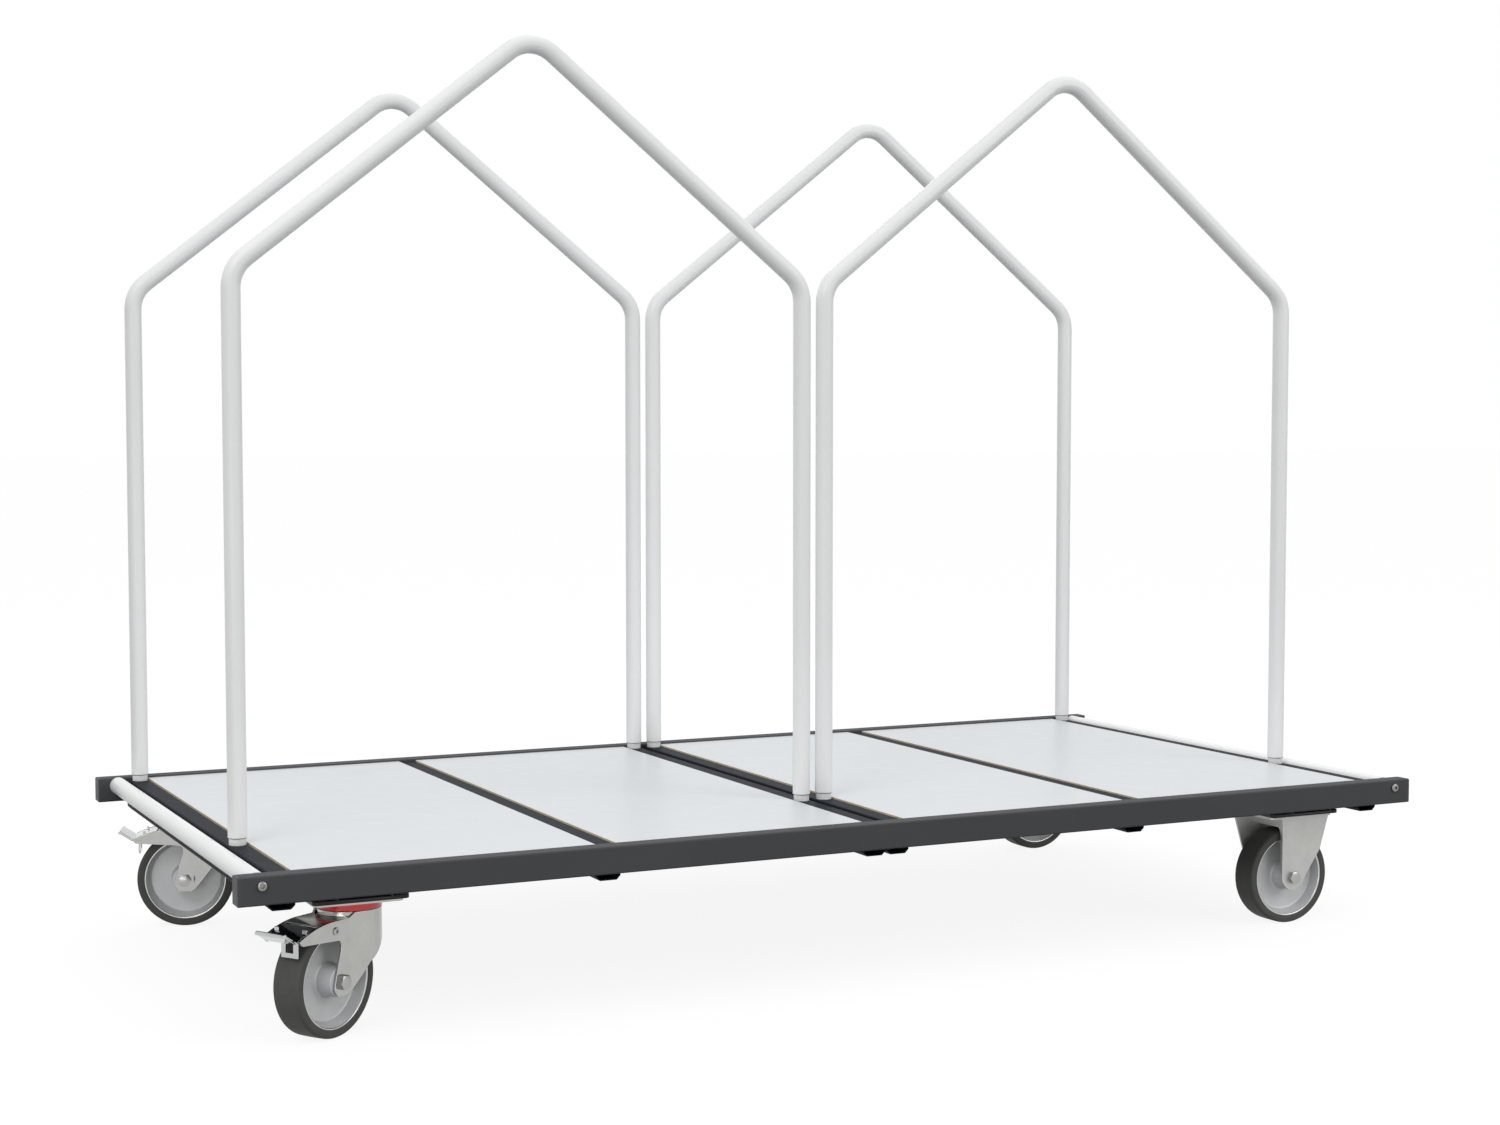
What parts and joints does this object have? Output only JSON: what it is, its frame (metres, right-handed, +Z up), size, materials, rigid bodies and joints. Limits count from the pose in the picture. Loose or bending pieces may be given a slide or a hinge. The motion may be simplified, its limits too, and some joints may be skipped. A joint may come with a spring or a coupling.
{
  "type": "platform trolley with hoop sides",
  "caption": "Long platform trolley with white deck panels in a dark frame, house-shaped lift-out tube hoops, braked swivel casters and fixed casters.",
  "frame": {"origin": "on the floor, below the middle of the platform", "axes": "+X along the platform, from the swivel casters to the fixed casters; +Y across it, from the near row of hoops to the far row; +Z up"},
  "size_m": [2, 1.0088, 1.4278],
  "materials": {
    "rail_paint": "satin anthracite paint",
    "cap_plastic": "satin anthracite",
    "bearer_paint": "glossy anthracite paint",
    "white_tube": "satin white paint",
    "foot_paint": "satin white paint",
    "white_board": "white-faced board with pale edges",
    "beam_paint": "satin anthracite paint",
    "black_plate": "satin black paint",
    "zinc_plate": "matte zinc plating",
    "bright_zinc": "bright zinc plating",
    "pedal_chrome": "polished",
    "red_seal": "gloss",
    "wheel_rim": "satin casting with a bright lip",
    "wheel_tyre": "matte dark grey rubber"
  },
  "bodies": {
    "chassis": {"near_side_rail": "rail_paint", "far_side_rail": "rail_paint", "rail_end_caps": "cap_plastic", "left_end_bearer": "bearer_paint", "left_mid_bearer": "bearer_paint", "left_centre_bearer": "bearer_paint", "right_centre_bearer": "bearer_paint", "right_mid_bearer": "bearer_paint", "right_end_bearer": "bearer_paint", "left_end_tube": "white_tube", "right_end_tube": "white_tube", "end_tube_screws": "bright_zinc", "left_outer_panel": "white_board", "left_inner_panel": "white_board", "right_inner_panel": "white_board", "right_outer_panel": "white_board", "left_caster_beam": "beam_paint", "right_caster_beam": "beam_paint", "left_mount_plates": "black_plate", "right_mount_plates": "black_plate", "caster_bolts": "bright_zinc", "near_left_top_plate": "zinc_plate", "near_left_seal_ring": "red_seal", "near_left_king_pin": "bright_zinc", "far_left_top_plate": "zinc_plate", "far_left_seal_ring": "red_seal", "far_left_king_pin": "bright_zinc", "near_right_fixed_fork": "zinc_plate", "near_right_axle_tube": "bright_zinc", "near_right_fork_bolts": "bright_zinc", "far_right_fixed_fork": "zinc_plate", "far_right_axle_tube": "bright_zinc", "far_right_fork_bolts": "bright_zinc"},
    "near_left_swivel": {"near_left_fork": "zinc_plate", "near_left_axle_tube": "bright_zinc", "near_left_fork_bolts": "bright_zinc"},
    "near_left_brake": {"near_left_pedal": "pedal_chrome"},
    "far_left_swivel": {"far_left_fork": "zinc_plate", "far_left_axle_tube": "bright_zinc", "far_left_fork_bolts": "bright_zinc"},
    "far_left_brake": {"far_left_pedal": "pedal_chrome"},
    "near_left_wheel": {"near_left_wheel_rim": "wheel_rim", "near_left_tyre": "wheel_tyre"},
    "far_left_wheel": {"far_left_wheel_rim": "wheel_rim", "far_left_tyre": "wheel_tyre"},
    "near_right_wheel": {"near_right_wheel_rim": "wheel_rim", "near_right_tyre": "wheel_tyre"},
    "far_right_wheel": {"far_right_wheel_rim": "wheel_rim", "far_right_tyre": "wheel_tyre"},
    "near_left_side": {"near_left_hoop": "white_tube", "near_left_hoop_feet": "foot_paint"},
    "near_right_side": {"near_right_hoop": "white_tube", "near_right_hoop_feet": "foot_paint"},
    "far_left_side": {"far_left_hoop": "white_tube", "far_left_hoop_feet": "foot_paint"},
    "far_right_side": {"far_right_hoop": "white_tube", "far_right_hoop_feet": "foot_paint"}
  },
  "joints": [
    {"name": "near_left_swivel_turn", "type": "hinge", "parent": "chassis", "child": "near_left_swivel", "pos_m": [-0.817, -0.3895, 0.17], "axis": [0, 0, 1], "continuous": true},
    {"name": "near_left_wheel_spin", "type": "hinge", "parent": "near_left_swivel", "child": "near_left_wheel", "pos_m": [-0.86145, -0.41837, 0.08], "axis": [0.5446, -0.8387, 0], "continuous": true},
    {"name": "near_left_brake_press", "type": "hinge", "parent": "near_left_swivel", "child": "near_left_brake", "pos_m": [-0.8726, -0.42561, 0.1529], "axis": [0.5446, -0.8387, 0], "range_deg": [0, 5.5]},
    {"name": "far_left_swivel_turn", "type": "hinge", "parent": "chassis", "child": "far_left_swivel", "pos_m": [-0.817, 0.3895, 0.17], "axis": [0, 0, 1], "continuous": true},
    {"name": "far_left_wheel_spin", "type": "hinge", "parent": "far_left_swivel", "child": "far_left_wheel", "pos_m": [-0.8672, 0.40649, 0.08], "axis": [-0.3206, -0.9472, 0], "continuous": true},
    {"name": "far_left_brake_press", "type": "hinge", "parent": "far_left_swivel", "child": "far_left_brake", "pos_m": [-0.8798, 0.41076, 0.1529], "axis": [-0.3206, -0.9472, 0], "range_deg": [0, 5.5]},
    {"name": "near_right_wheel_spin", "type": "hinge", "parent": "chassis", "child": "near_right_wheel", "pos_m": [0.817, -0.3895, 0.08], "axis": [0, -1, 0], "continuous": true},
    {"name": "far_right_wheel_spin", "type": "hinge", "parent": "chassis", "child": "far_right_wheel", "pos_m": [0.817, 0.3895, 0.08], "axis": [0, -1, 0], "continuous": true},
    {"name": "near_left_side_lift", "type": "slide", "parent": "chassis", "child": "near_left_side", "axis": [0, 0, 1], "range_m": [0, 0.06]},
    {"name": "near_right_side_lift", "type": "slide", "parent": "chassis", "child": "near_right_side", "axis": [0, 0, 1], "range_m": [0, 0.06]},
    {"name": "far_left_side_lift", "type": "slide", "parent": "chassis", "child": "far_left_side", "axis": [0, 0, 1], "range_m": [0, 0.06]},
    {"name": "far_right_side_lift", "type": "slide", "parent": "chassis", "child": "far_right_side", "axis": [0, 0, 1], "range_m": [0, 0.06]}
  ]
}
